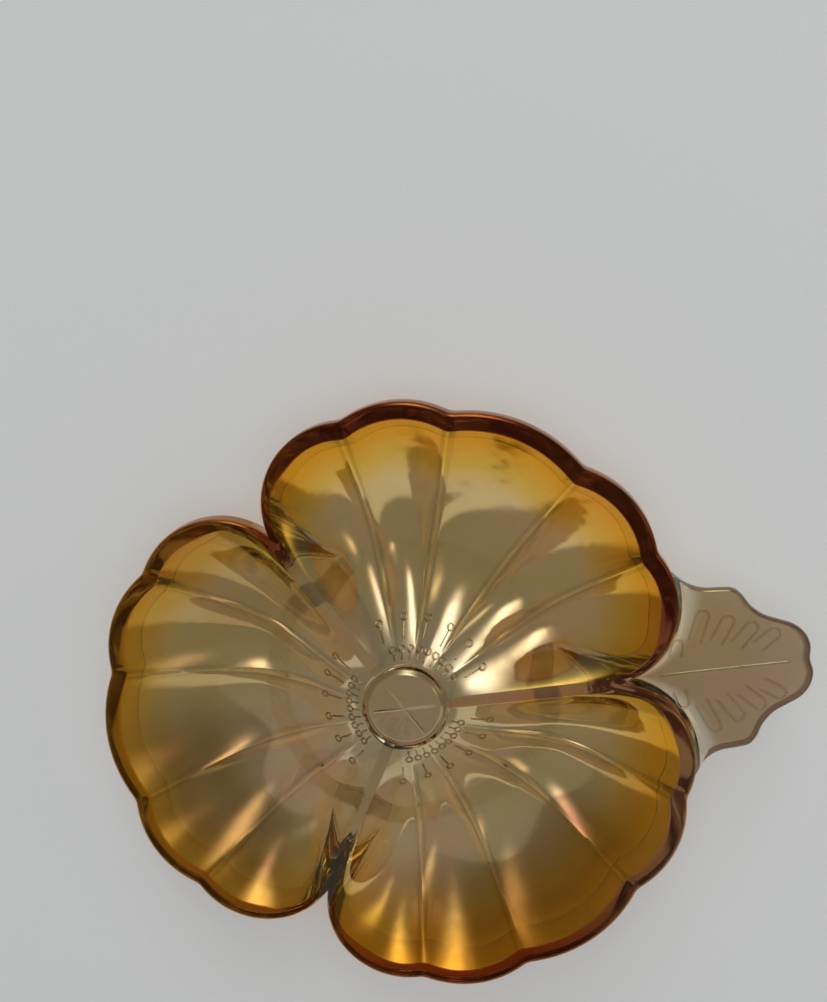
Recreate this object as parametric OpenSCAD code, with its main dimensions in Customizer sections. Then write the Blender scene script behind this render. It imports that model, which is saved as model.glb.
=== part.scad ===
// Leaf-handled three-petal flower dish in pressed, iridised glass.
// Millimetres. +Z is up and z = 0 is the table the foot ring rests on.
// +X points along the leaf handle. The origin is the middle of the dish's
// outline box, on the table; the flower's own axis stands at x = flower_x.
// Plan angles are measured round the flower's axis from +X, and phi is the
// angle from a petal's own middle line.

/* [Flower] */
// Height of the rim, the dividers and the centre boss above the table
rim_h = 25; // [24:0.1:28]
// Distance from the flower's axis to the tip of each petal's middle lobe
flower_r = 75.8; // [75:0.1:77]
// Distance from the axis to the notches beside the middle lobe
notch_mid_r = 73.4; // [72.5:0.1:74]
// Distance from the axis to the notches beside the outer lobes
notch_side_r = 72; // [71:0.1:73]
// Distance from the axis to the cleft between two petals
cleft_r = 53.4; // [52:0.1:54]
// How far a side lobe bulges beyond its two notches
side_bulge = 3.9; // [3.5:0.1:4.5]
// How far an outer lobe bulges between its notch and the cleft
outer_bulge = 8.7; // [8:0.1:9.2]

/* [Glass] */
// Width of the rim band
band_w = 4.2; // [3.6:0.1:4.6]
// Width of the rim band where it runs into a divider
cleft_w = 2.1; // [1.8:0.1:3]
// Height of the rim band's upright outer face
band_h = 4.8; // [4:0.1:5.5]
// Depth of a petal's floor below the rim, measured on its ribs
rib_depth = 16; // [14:0.1:16.5]
// Extra depth of the floor between two ribs
lobe_depth = 3; // [1:0.1:3.2]
// Depth at which a petal's floor starts beside the boss
throat_depth = 3; // [2:0.1:4]
// Half the width of a divider beside the boss
divider_half = 1.4; // [1:0.1:2]

/* [Centre] */
// Radius of the centre boss
boss_r = 9.8; // [9:0.1:10]
// Rise of the boss's low dome
boss_dome = 0.3; // [0.2:0.1:0.8]
// Width of the bevel round the boss
boss_bevel = 1.6; // [0.8:0.1:2.4]
// Radius of a stamen's bead
bead_r = 0.85; // [0.7:0.05:1]
// Stamens in the inner ring of each petal
inner_stamens = 9; // [3:1:9]
// Stamens in the outer ring of each petal
outer_stamens = 6; // [3:1:7]

/* [Foot] */
// Inner radius of the flat the foot ring stands under
foot_in_r = 31; // [30:0.1:32]
// Outer radius of the flat the foot ring stands under
foot_out_r = 38; // [37.5:0.1:39]
// Height of the foot ring
foot_h = 0.6; // [0.4:0.1:1]

/* [Leaf] */
// Distance from the flower's axis to the leaf's tip
leaf_tip = 98.5; // [96:0.1:101]
// Thickness of the leaf
leaf_t = 3; // [2.5:0.1:3.5]
// Depth of the leaf's upper face below the rim
leaf_drop = 3; // [2.4:0.1:3]
// How far the midrib lies below the leaf's edges
leaf_dish = 0.8; // [0.2:0.1:1]
// Height that the cove beside the petals climbs above the leaf
cove_h = 2; // [1:0.1:2]
// Veins on each side of the midrib
vein_count = 5; // [3:1:5]

/* [Hidden] */
$fn = 72;

AMBER = [0.78, 0.50, 0.12, 0.75];
RUSSET = [0.42, 0.16, 0.10, 0.9];
SMOKE = [0.66, 0.60, 0.48, 0.75];
PALE = [0.80, 0.74, 0.60, 0.8];

MIDS = [60, 180, 300];          // middle lines of the three petals
flower_x = (flower_r - leaf_tip) / 2;
notch_mid_a = 13.4;             // angle of the inner notches from a petal's middle
notch_side_a = 34.6;            // angle of the outer notches
half_petal = 60;                // angle of the clefts
throat_r = 11;                  // where the petals and dividers start
dome_z = rim_h - 15;            // underside of the glass under the boss
band_top = 1.1;                 // height of the round over the band's outer edge
wall_reach = 34;                // plan width of the curved wall inside the rim
side_reach = 20;                // plan width of the curved wall beside a divider
throat_reach = 40;              // plan length of the slope down from the boss
rows_in = [11, 14, 18, 22.5, foot_in_r - 4, foot_in_r, foot_out_r];
rows_out = [0.16, 0.34, 0.52, 0.68, 0.82, 0.92, 1];
steps = 6;                      // mesh steps across one lobe

// ---- outline -------------------------------------------------------------
function polar(r, a) = [r * cos(a), r * sin(a)];
function clamp(v, lo, hi) = min(max(v, lo), hi);
function ease(v) = let (c = clamp(v, 0, 1)) c * c * (3 - 2 * c);

// A lobe is a circular arc through two points with a given bulge: [centre, radius]
function lobe_arc(p, q, bulge) =
    let (
        chord = q - p,
        len = norm(chord),
        out = [chord.y, -chord.x] / len,
        radius = (len * len / 4 + bulge * bulge) / (2 * bulge)
    )
    [(p + q) / 2 + out * (bulge - radius), radius];

mid_n = polar(notch_mid_r, notch_mid_a);
side_n = polar(notch_side_r, notch_side_a);
LOBES = [
    lobe_arc(polar(notch_mid_r, -notch_mid_a), mid_n, flower_r - mid_n.x),
    lobe_arc(mid_n, side_n, side_bulge),
    lobe_arc(side_n, polar(cleft_r, half_petal), outer_bulge)
];

// Distance along a ray at phi to the far side of a lobe shrunk by inset
function lobe_reach(lobe, phi, inset) =
    let (
        along = lobe[0] * polar(1, phi),
        rest = pow(lobe[1] - inset, 2) - lobe[0] * lobe[0] + along * along
    )
    rest < 0 ? 0 : along + sqrt(rest);

// Radius of the petal's outline at phi, moved in by inset
function outline_r(phi, inset = 0) =
    max([for (lobe = LOBES) lobe_reach(lobe, abs(phi), inset)]);

// Radius of the hollow's edge at phi: the band narrows towards the cleft
function inner_r(phi) =
    outline_r(phi, band_w - (band_w - cleft_w) * ease((abs(phi) - 46) / 10));

// Angle at which a ray from the axis touches the hollow's last round
last_lobe = LOBES[2];
touch_a = atan2(last_lobe[0].y, last_lobe[0].x)
    + asin((last_lobe[1] - cleft_w) / norm(last_lobe[0])) - 0.05;
touch_r = inner_r(touch_a);

// The side of the hollow is a straight line from the throat to that round
side_p = polar(throat_r, half_petal - asin(divider_half / throat_r));
side_q = polar(touch_r, touch_a);
side_dir = (side_q - side_p) / norm(side_q - side_p);
function side_angle(r) =
    let (
        b = side_p * side_dir,
        s = -b + sqrt(b * b - side_p * side_p + r * r),
        p = side_p + side_dir * s
    )
    atan2(p.y, p.x);
function side_gap(p) =
    let (d = [p.x, abs(p.y)] - side_p)
    max(0, side_dir.y * d.x - side_dir.x * d.y);

// ---- heights -------------------------------------------------------------
// Rise of the underside from the foot's flat to the rim at phi
function wall_power(phi) = 2.7 - 1.4 * ease((abs(phi) - 36) / 24);
function under(r, phi) =
    r <= foot_in_r
        ? dome_z - (dome_z - foot_h) * ease(r / foot_in_r)
        : r <= foot_out_r
            ? foot_h
            : foot_h + (rim_h - band_h - band_top - foot_h)
                * pow((r - foot_out_r) / (outline_r(phi) - foot_out_r), wall_power(phi));

// 0 on a rib, 1 in the middle of the lobe beside it
function lobe_share(phi) =
    let (
        a = abs(phi),
        span = a < notch_mid_a ? [-notch_mid_a, notch_mid_a]
            : a < notch_side_a ? [notch_mid_a, notch_side_a]
            : [notch_side_a, touch_a],
        q = (2 * a - span[0] - span[1]) / (span[1] - span[0])
    )
    max(0, 1 - q * q);

function climb(d, reach, power = 2) = 1 - pow(1 - clamp(d / reach, 0, 1), power);

// Upper face of a petal at plan point p, gap mm inside the rim band,
// on the line that meets the rim at phi
function hollow(p, gap, phi) =
    let (
        from_throat = climb(norm(p) - throat_r, throat_reach),
        from_rim = climb(gap, wall_reach, 1.5),
        from_side = climb(side_gap(p), side_reach),
        depth = throat_depth + (rib_depth - throat_depth) * from_throat,
        lobe = lobe_depth * lobe_share(phi) * ease((norm(p) - throat_r) / 22)
    )
    rim_h - (depth + lobe) * from_rim * from_side - 0.3;

// ---- meshes --------------------------------------------------------------
// Closed solid between two grids of points, rows x cols, upper and lower
module slab(upper, lower) {
    rows = len(upper);
    cols = len(upper[0]);
    points = concat([for (row = upper) each row], [for (row = lower) each row]);
    below = rows * cols;
    function at(i, j) = i * cols + j;
    top = [for (i = [0 : rows - 2]) for (j = [0 : cols - 2])
        each [[at(i, j), at(i, j + 1), at(i + 1, j + 1)],
              [at(i, j), at(i + 1, j + 1), at(i + 1, j)]]];
    bottom = [for (f = top) [f[2] + below, f[1] + below, f[0] + below]];
    edge = concat(
        [for (j = [0 : cols - 1]) at(0, j)],
        [for (i = [1 : rows - 1]) at(i, cols - 1)],
        [for (j = [cols - 2 : -1 : 0]) at(rows - 1, j)],
        [for (i = [rows - 2 : -1 : 1]) at(i, 0)]
    );
    n = len(edge);
    sides = [for (k = [0 : n - 1]) let (a = edge[k], b = edge[(k + 1) % n])
        each [[b, a, a + below], [b, a + below, b + below]]];
    polyhedron(points, concat(top, bottom, sides));
}

module in_place() {
    translate([flower_x, 0, 0]) children();
}

// Radius on the hollow's side line, a share t of the way from the foot to the rim
function side_station(t) = foot_out_r + (touch_r - foot_out_r) * t;

// ---- petals --------------------------------------------------------------
// Lines that run from the throat to the rim, as shares of the half petal
LINES = let (stops = [-touch_a, -notch_side_a, -notch_mid_a, notch_mid_a, notch_side_a, touch_a])
    [for (k = [0 : 4]) for (i = [0 : steps - (k < 4 ? 1 : 0)])
        (stops[k] + (stops[k + 1] - stops[k]) * i / steps) / touch_a];

function petal_point(share, row) =
    row < len(rows_in)
        ? let (r = rows_in[row]) polar(r, share * side_angle(r))
        : let (
            t = rows_out[row - len(rows_in)],
            rim = inner_r(share * touch_a)
        )
        polar(foot_out_r + (rim - foot_out_r) * t, share * side_angle(side_station(t)));

module petal(mid) {
    rows = len(rows_in) + len(rows_out);
    plan = [for (row = [0 : rows - 1]) [for (s = LINES) petal_point(s, row)]];
    upper = [for (row = [0 : rows - 1]) [for (j = [0 : len(LINES) - 1])
        let (
            p = plan[row][j],
            phi = LINES[j] * touch_a,
            gap = row == rows - 1 ? 0 : inner_r(phi) - norm(p)
        )
        [p.x, p.y, hollow(p, gap, phi)]]];
    lower = [for (row = [0 : rows - 1]) [for (p = plan[row])
        [p.x, p.y, under(norm(p), atan2(p.y, p.x))]]];
    color(AMBER)
        in_place()
        rotate([0, 0, mid])
        slab(upper, lower);
}

// ---- rim bands -----------------------------------------------------------
// Shares of the band's width from the hollow outwards, with the drop there
BAND = [[0, 0.3], [0.2, 0], [0.6, 0], [0.86, 0.35], [1, band_top]];

module rim(mid) {
    angles = [for (s = LINES) s * touch_a];
    function band_r(phi, share) =
        let (inner = inner_r(phi)) inner + (outline_r(phi) - inner) * share;
    plan = [for (b = BAND) [for (phi = angles) polar(band_r(phi, b[0]), phi)]];
    upper = [for (i = [0 : len(BAND) - 1]) [for (p = plan[i]) [p.x, p.y, rim_h - BAND[i][1]]]];
    lower = [for (row = plan) [for (p = row) [p.x, p.y, under(norm(p), atan2(p.y, p.x))]]];
    color(RUSSET)
        in_place()
        rotate([0, 0, mid])
        slab(upper, lower);
}

// ---- dividers ------------------------------------------------------------
// Between two hollows: straight to the last round, then out to the cleft
module divider(cleft) {
    across = [-1, -0.5, 0, 0.5, 1];
    crown = [0.3, 0.05, 0, 0.05, 0.3];
    stations = concat(rows_in, [for (t = rows_out) if (t < 1) side_station(t)]);
    function edge(r) = half_petal - side_angle(r);
    function outer(s) =
        let (turn = s * (half_petal - touch_a))
        polar(outline_r(half_petal - abs(turn)), turn);
    function inner(s) =
        [touch_r * cos(edge(touch_r)), s * touch_r * sin(edge(touch_r))];
    n = len(stations);
    plan = concat(
        [for (r = stations) [for (s = across) [r * cos(edge(r)), s * r * sin(edge(r))]]],
        [for (b = BAND) [for (s = across) inner(s) * (1 - b[0]) + outer(s) * b[0]]]
    );
    upper = [for (i = [0 : len(plan) - 1]) [for (j = [0 : len(across) - 1])
        let (p = plan[i][j]) [p.x, p.y, rim_h - (i <= n ? crown[j] : BAND[i - n][1])]]];
    lower = [for (row = plan) [for (p = row)
        [p.x, p.y, under(norm(p), half_petal - abs(atan2(p.y, p.x)))]]];
    color(RUSSET)
        in_place()
        rotate([0, 0, cleft])
        slab(upper, lower);
}

// ---- centre --------------------------------------------------------------
module flower_centre() {
    shelf_z = rim_h - throat_depth;
    crown_r = boss_r - boss_bevel;
    ray_r = 0.35;
    ray_z = rim_h + boss_dome * 0.6;
    top = [for (i = [0 : 6]) let (r = crown_r * i / 6)
        [r, rim_h + boss_dome * (1 - pow(r / boss_r, 2))]];
    below = [for (i = [6 : -1 : 0]) let (r = throat_r * i / 6) [r, under(r, 0)]];
    color(PALE) in_place() {
        rotate_extrude()
            polygon(concat(top, [[boss_r, rim_h - 1], [boss_r, shelf_z], [throat_r, shelf_z]], below));
        for (a = [0 : 60 : 300])
            rotate([0, 0, a])
            translate([0.8, 0, ray_z])
            rotate([0, 90, 0])
            cylinder(h = crown_r - 0.8, r = ray_r, $fn = 24);
    }
}

// A round bar from p to q
module bar(p, q, r) {
    d = q - p;
    translate(p)
        rotate([0, acos(d.z / norm(d)), atan2(d.y, d.x)])
        cylinder(h = norm(d), r = r, $fn = 24);
}

// Upper face of a petal at radius r and angle phi from its middle
function face_at(r, phi) =
    let (p = polar(r, phi)) [p.x, p.y, hollow(p, wall_reach, phi)];

// A stalk from radius start that ends in a bead at radius r
module stamen(start, r, phi) {
    head = face_at(r, phi);
    bar(face_at(start, phi), head, bead_r * 0.32);
    translate(head) sphere(r = bead_r, $fn = 32);
}

module stamens() {
    inner_ring = 14.2;
    outer_ring = 21;
    spread = 41;
    function spaced(i, count) = -spread + 2 * spread * i / (count - 1);
    color(PALE) in_place()
        for (mid = MIDS) rotate([0, 0, mid]) {
            for (i = [0 : inner_stamens - 1])
                stamen(throat_r + 0.6, inner_ring, spaced(i, inner_stamens) * 0.85);
            // the outer stalks start beyond the inner beads
            for (i = [0 : outer_stamens - 1])
                stamen(inner_ring + 2, outer_ring, spaced(i, outer_stamens));
        }
}

// ---- foot ----------------------------------------------------------------
module foot_ring() {
    set_in = 0.3;
    slope_w = 2.8;
    color(AMBER) in_place() rotate_extrude()
        polygon([
            [foot_in_r + set_in, foot_h],
            [foot_in_r + set_in + slope_w, 0],
            [foot_out_r - set_in - slope_w, 0],
            [foot_out_r - set_in, foot_h]
        ]);
}

// ---- leaf ----------------------------------------------------------------
// Right-hand half of the leaf's edge from where it leaves the petal to the tip
join_a = 20.4;
join_p = polar(outline_r(half_petal - join_a), join_a);
LEAF_EDGE = [
    join_p, [71, 22.2], [74.5, 20.6], [78.5, 20.2], [81.6, 19.7], [83.6, 17.9],
    [85.4, 14.9], [88.2, 12.3], [91.6, 10.7], [95, 9.1], [97.4, 6.6],
    [leaf_tip, 3.4], [leaf_tip - 0.5, 0]
];

// Point on the leaf's upper face, which falls towards the midrib
leaf_half = 20;
function leaf_face(p) =
    [p.x, p.y, rim_h - leaf_drop - leaf_dish * (1 - clamp(abs(p.y) / leaf_half, 0, 1))];

module leaf_handle() {
    n = len(LEAF_EDGE) - 1;
    half = [for (i = [0 : n]) LEAF_EDGE[n - i]];
    edge = concat([for (i = [0 : n]) [LEAF_EDGE[i].x, -LEAF_EDGE[i].y]], [for (i = [1 : n]) half[i]]);
    base = [for (i = [0 : 2 * n]) let (a = join_a * (i / n - 1)) polar(outline_r(half_petal - abs(a)), a)];
    depths = [0, 0.04, 0.1, 0.2, 0.4, 0.65, 0.9, 1];
    cove_w = 4;
    function plan(t, i) = base[i] * (1 - t) + edge[i] * t;
    function upper_z(t, i) =
        let (
            p = plan(t, i),
            away = norm(p - base[i]),
            cove = cove_h * pow(1 - clamp(away / cove_w, 0, 1), 2),
            rounding = t == 1 ? 0.6 : 0
        )
        leaf_face(p).z + cove - rounding;
    lower_z = rim_h - leaf_drop - leaf_t;
    upper = [for (t = depths) [for (i = [1 : 2 * n - 1])
        let (p = plan(t, i)) [p.x, p.y, upper_z(t, i)]]];
    lower = [for (t = depths) [for (i = [1 : 2 * n - 1])
        let (p = plan(t, i)) [p.x, p.y, lower_z + (t == 1 ? 0.5 : 0)]]];
    color(SMOKE) in_place() slab(upper, lower);
}

module leaf_midrib() {
    color(SMOKE) in_place() bar(leaf_face([62, 0]), leaf_face([leaf_tip - 5, 0]), 0.5);
}

// A vein is a narrow hoop: two bars and the half round that joins them
module vein(len) {
    vein_r = 0.38;
    hoop_r = 1.5;
    for (k = [-1, 1])
        bar([0, k * hoop_r, 0], [len, k * hoop_r, 0], vein_r);
    translate([len, 0, 0])
        rotate([0, 0, -90])
        rotate_extrude(angle = 180)
        translate([hoop_r, 0])
        circle(r = vein_r, $fn = 24);
}

// The first vein is short; the others swing towards the tip, one after another
module leaf_veins() {
    last = 4;
    color(SMOKE) in_place()
        for (side = [-1, 1]) for (i = [0 : vein_count - 1]) {
            share = i / last;
            lean = 78 - 44 * share;
            length = i == 0 ? 3 : 7.5 - 2.5 * share;
            root = [66.3 + 19.6 * share, side * (i == 0 ? 4.2 : 8.4 - 3.8 * share)];
            translate(leaf_face(root))
                rotate([0, 0, side * lean])
                rotate([0, -atan(leaf_dish / leaf_half) * sin(lean), 0])
                vein(length);
        }
}

flower_centre();
petal(MIDS[0]);  // petal_left
petal(MIDS[1]);  // petal_far
petal(MIDS[2]);  // petal_right
rim(MIDS[0]);  // rim_left
rim(MIDS[1]);  // rim_far
rim(MIDS[2]);  // rim_right
divider(0);  // divider_leaf
divider(120);  // divider_left
divider(240);  // divider_right
stamens();
foot_ring();
leaf_handle();
leaf_midrib();
leaf_veins();
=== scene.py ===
"""Looks of a leaf-handled flower dish in iridised pressed glass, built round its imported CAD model.

The dish is one pressing, so the pieces are closed shells that meet face to face: the faces where two
of them meet are clear joints, and only the outer faces carry the glass and its film.
"""
import math

import bmesh
import bpy
import numpy as np
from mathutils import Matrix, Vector


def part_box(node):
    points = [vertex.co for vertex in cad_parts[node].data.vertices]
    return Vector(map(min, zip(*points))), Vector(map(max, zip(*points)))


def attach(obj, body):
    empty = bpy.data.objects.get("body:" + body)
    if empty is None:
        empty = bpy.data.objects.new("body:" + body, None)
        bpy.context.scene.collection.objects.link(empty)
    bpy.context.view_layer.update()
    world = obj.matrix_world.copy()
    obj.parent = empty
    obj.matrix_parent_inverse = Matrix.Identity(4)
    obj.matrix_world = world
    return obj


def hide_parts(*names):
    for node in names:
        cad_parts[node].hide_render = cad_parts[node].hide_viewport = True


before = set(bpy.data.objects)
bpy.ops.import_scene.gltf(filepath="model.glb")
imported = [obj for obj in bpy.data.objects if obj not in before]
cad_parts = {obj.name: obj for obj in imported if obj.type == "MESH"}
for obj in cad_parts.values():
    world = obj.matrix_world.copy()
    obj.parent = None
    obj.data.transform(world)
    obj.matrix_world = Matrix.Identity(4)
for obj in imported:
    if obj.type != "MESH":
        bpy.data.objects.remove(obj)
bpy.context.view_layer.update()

# ---------------------------------------------------------------- sizes, in millimetres and degrees
MM = 0.001


def corner(node, end):
    """The lowest (0) or highest (1) corner of a CAD node's box."""
    return np.array(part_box(node)[end]) / MM


AXIS_X = (corner("flower_centre", 0)[0] + corner("flower_centre", 1)[0]) / 2
RIM_Z = corner("rim_left", 1)[2]
FLAT_Z = corner("foot_ring", 1)[2]
FLOWER_R = AXIS_X - corner("rim_far", 0)[0]
THROAT_R = corner("flower_centre", 1)[0] - AXIS_X
FOOT_OUT = corner("foot_ring", 1)[0] - AXIS_X
LEAF_TIP = corner("leaf_handle", 1)[0] - AXIS_X

MIDS = {"left": 60, "far": 180, "right": 300}
CLEFTS = {"leaf": 0, "left": 120, "right": 240}
HALF_PETAL = 60
NOTCH_MID, NOTCH_SIDE = (73.4, 13.4), (72.0, 34.6)
CLEFT_R = 53.4
SIDE_BULGE, OUTER_BULGE = 3.9, 8.7
BAND_W, BAND_H, BAND_TOP = 4.2, 4.8, 1.1
CLEFT_W = 2.1
RIB_DEPTH, LOBE_DEPTH, THROAT_DEPTH = 16.0, 3.0, 3.0
WALL_REACH, SIDE_REACH, THROAT_REACH = 34.0, 20.0, 40.0
DIVIDER_HALF = 1.4
EDGE_DROP = 0.3
FLAT_IN, FLAT_OUT = 31.0, FOOT_OUT + 0.3
FOOT_IN, FOOT_SLOPE = FLAT_IN + 0.3, 2.8
DOME_Z = RIM_Z - 15
BOSS_R, BOSS_BEVEL, BOSS_DOME = 9.8, 1.6, 0.3
LEAF_T, LEAF_DROP, LEAF_DISH, LEAF_HALF = 3.0, 3.0, 0.8, 20.0
COVE_H, COVE_W = 2.0, 4.0
JOIN_A = 20.4
# The true curves stay this far inside the CAD's flat facets
CLEARANCE = 0.05


# ---------------------------------------------------------------- outline of a petal
def polar(r, a):
    a = np.radians(a)
    return np.stack([r * np.cos(a), r * np.sin(a)], -1)


def ease(v):
    v = np.clip(v, 0, 1)
    return v * v * (3 - 2 * v)


def lobe_arc(p, q, bulge):
    """Centre and radius of the arc from p to q that bulges away from the axis."""
    chord = q - p
    size = np.hypot(*chord)
    out = np.array([chord[1], -chord[0]]) / size
    radius = (size * size / 4 + bulge * bulge) / (2 * bulge)
    return (p + q) / 2 + out * (bulge - radius), radius


def petal_lobes():
    mid_n, side_n = polar(*NOTCH_MID), polar(*NOTCH_SIDE)
    return [
        lobe_arc(polar(NOTCH_MID[0], -NOTCH_MID[1]), mid_n, FLOWER_R - mid_n[0]),
        lobe_arc(mid_n, side_n, SIDE_BULGE),
        lobe_arc(side_n, polar(CLEFT_R, HALF_PETAL), OUTER_BULGE),
    ]


LOBES = petal_lobes()
NOTCH_SOFTNESS = 0.3


def outline(phi, inset=0.0):
    """Radius of a petal's outline at phi, moved in by inset, with its notches a little rounded."""
    phi = np.abs(np.asarray(phi, float))
    ray = polar(1.0, phi)
    reaches = []
    for centre, radius in LOBES:
        along = ray @ centre
        rest = (radius - inset - CLEARANCE) ** 2 - centre @ centre + along * along
        reaches.append(np.where(rest < 0, 0, along + np.sqrt(np.maximum(rest, 0))))
    most = np.max(reaches, axis=0)
    blend = np.exp((np.array(reaches) - most) / NOTCH_SOFTNESS).sum(0)
    return most + NOTCH_SOFTNESS * np.log(blend)


def inner_edge(phi):
    """Radius of the hollow's edge at phi: the band narrows towards the cleft."""
    return outline(phi, BAND_W - (BAND_W - CLEFT_W) * ease((np.abs(phi) - 46) / 10))


def hollow_side():
    """The hollow's straight side, from the throat to where it touches the hollow's last round."""
    centre, radius = LOBES[2]
    inner = radius - CLEFT_W - CLEARANCE
    touch_a = math.degrees(math.atan2(centre[1], centre[0]) + math.asin(inner / np.hypot(*centre))) - 0.05
    touch_r = float(inner_edge(touch_a))
    p = polar(THROAT_R, HALF_PETAL - math.degrees(math.asin(DIVIDER_HALF / THROAT_R)))
    along = polar(touch_r, touch_a) - p
    return touch_a, touch_r, p, along / np.hypot(*along)


TOUCH_A, TOUCH_R, SIDE_P, SIDE_DIR = hollow_side()


def side_angle(r):
    """Angle of the hollow's straight side at radius r."""
    b = SIDE_P @ SIDE_DIR
    s = -b + math.sqrt(b * b - SIDE_P @ SIDE_P + r * r)
    p = SIDE_P + SIDE_DIR * s
    return math.degrees(math.atan2(p[1], p[0]))


def from_side(x, y):
    """Distance of a point in a petal from the nearer straight side."""
    dx, dy = x - SIDE_P[0], np.abs(y) - SIDE_P[1]
    return np.maximum(0, SIDE_DIR[1] * dx - SIDE_DIR[0] * dy)


def from_rib(r, phi):
    """Distance from the nearest rib's crest."""
    off = np.min([np.abs(np.abs(phi) - a) for a in (NOTCH_MID[1], NOTCH_SIDE[1])], axis=0)
    return r * np.sin(np.radians(np.minimum(off, 80)))


# ---------------------------------------------------------------- heights
def climb(d, reach, power=2.0):
    """0 at an edge, steepest there, and 1 from the reach on."""
    return 1 - (1 - np.clip(d / reach, 0, 1)) ** power


def under(r, phi):
    """Height of the underside: a dome inside the foot, a flat over it and the outer wall."""
    power = 2.7 - 1.4 * ease((np.abs(phi) - 36) / 24)
    dome = DOME_Z - (DOME_Z - FLAT_Z) * ease(r / FLAT_IN)
    share = np.clip((r - FLAT_OUT) / (outline(phi) - FLAT_OUT), 0, 1)
    wall = FLAT_Z + (RIM_Z - BAND_H - BAND_TOP - FLAT_Z) * share**power
    return np.where(r <= FLAT_OUT, dome, wall)


def lobe_share(phi):
    """0 on a rib and 1 in the middle of the lobe beside it."""
    a = np.abs(phi)
    inner, outer = NOTCH_MID[1], NOTCH_SIDE[1]
    low = np.select([a < inner, a < outer], [-inner, inner], outer)
    high = np.select([a < inner, a < outer], [inner, outer], TOUCH_A)
    q = (2 * a - low - high) / (high - low)
    return np.maximum(0, 1 - q * q)


RIB_H, RIB_W = 0.35, 0.4


def hollow(x, y, phi, gap):
    """Height of a petal's upper face, gap inside the band on the line that meets the rim at phi."""
    r = np.hypot(x, y)
    depth = THROAT_DEPTH + (RIB_DEPTH - THROAT_DEPTH) * climb(r - THROAT_R, THROAT_REACH)
    lobe = LOBE_DEPTH * lobe_share(phi) * ease((r - THROAT_R) / 22)
    bead = RIB_H * np.exp(-((from_rib(r, phi) / RIB_W) ** 2))
    bead = bead * ease((r - THROAT_R - 1) / 8) * ease(gap / 6)
    sides = climb(gap, WALL_REACH, 1.5) * climb(from_side(x, y), SIDE_REACH)
    return RIM_Z - (depth + lobe - bead) * sides - EDGE_DROP


def leaf_height(y):
    """Height of the leaf's upper face, which falls towards the midrib."""
    return RIM_Z - LEAF_DROP - LEAF_DISH * (1 - np.clip(np.abs(y) / LEAF_HALF, 0, 1) ** 1.5)


# ---------------------------------------------------------------- colours of the film
PEARL = (0.84, 0.74, 0.54)
CHAMPAGNE = (0.92, 0.69, 0.40)
GOLD = (0.88, 0.59, 0.12)
ORANGE = (0.95, 0.42, 0.015)
RUSSET = (0.33, 0.018, 0.004)
AMBER = (0.86, 0.34, 0.02)
MAUVE = (0.74, 0.35, 0.24)
SMOKE = (0.76, 0.55, 0.36)
BEVEL_SHADE_BROWN = (0.34, 0.22, 0.12)
CLEAR = (0.97, 0.93, 0.84)
STAMEN_FILM = (0.74, 0.60, 0.44)
# Painted shade on the leaf's rounded edge
LIP_SHADE_FILM = (0.22, 0.10, 0.07)
# Tint of the painted reflection of a dark room
DARK_REFLECTION_TINT = (0.33, 0.26, 0.18)
PALE_BACK = (0.84, 0.63, 0.35)
WARM_BACK = (0.90, 0.53, 0.07)
RIM_BACK = (0.90, 0.36, 0.01)


def mixed(a, b, share):
    """Colours between a and b."""
    share = np.asarray(share, float)[..., None]
    return np.asarray(a, float) * (1 - share) + np.asarray(b, float) * share


def along_stops(stops, at):
    """Colours at places along a list of (place, colour) stops."""
    places = [p for p, _ in stops]
    return np.stack([np.interp(at, places, [c[k] for _, c in stops]) for k in range(3)], -1)


def azimuth_share(azimuth, towards, spread):
    """1 in a direction round the flower and 0 beyond the spread from it."""
    off = np.abs((azimuth - towards + 180) % 360 - 180)
    return ease(1 - off / spread)


FRONT_STOPS = [(0.0, PEARL), (0.3, CHAMPAGNE), (0.6, GOLD), (0.9, ORANGE)]
BACK_STOPS = [(0.3, PALE_BACK), (0.6, WARM_BACK), (0.9, RIM_BACK)]


# ---------------------------------------------------------------- mesh helpers
GLASS, JOINT = 0, 1


def to_frame(points, turn):
    """Points in the flower's own millimetres, turned about its axis, in the part's metres."""
    c, s = math.cos(math.radians(turn)), math.sin(math.radians(turn))
    x, y, z = np.asarray(points, float).reshape(-1, 3).T
    return np.stack([x * c - y * s + AXIS_X, x * s + y * c, z], -1) * MM


def quads(rows, cols, closed=False):
    """Faces of a grid of points; a closed grid's last column joins its first."""
    i, j = np.meshgrid(np.arange(rows - 1), np.arange(cols if closed else cols - 1), indexing="ij")
    k = (j + 1) % cols
    return np.stack([i * cols + j, i * cols + k, (i + 1) * cols + k, (i + 1) * cols + j], -1).reshape(-1, 4)


def turn_outwards(mesh):
    """Turn every face of a closed mesh to look outwards."""
    shell = bmesh.new()
    shell.from_mesh(mesh)
    bmesh.ops.recalc_face_normals(shell, faces=shell.faces)
    shell.to_mesh(mesh)
    shell.free()


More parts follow.
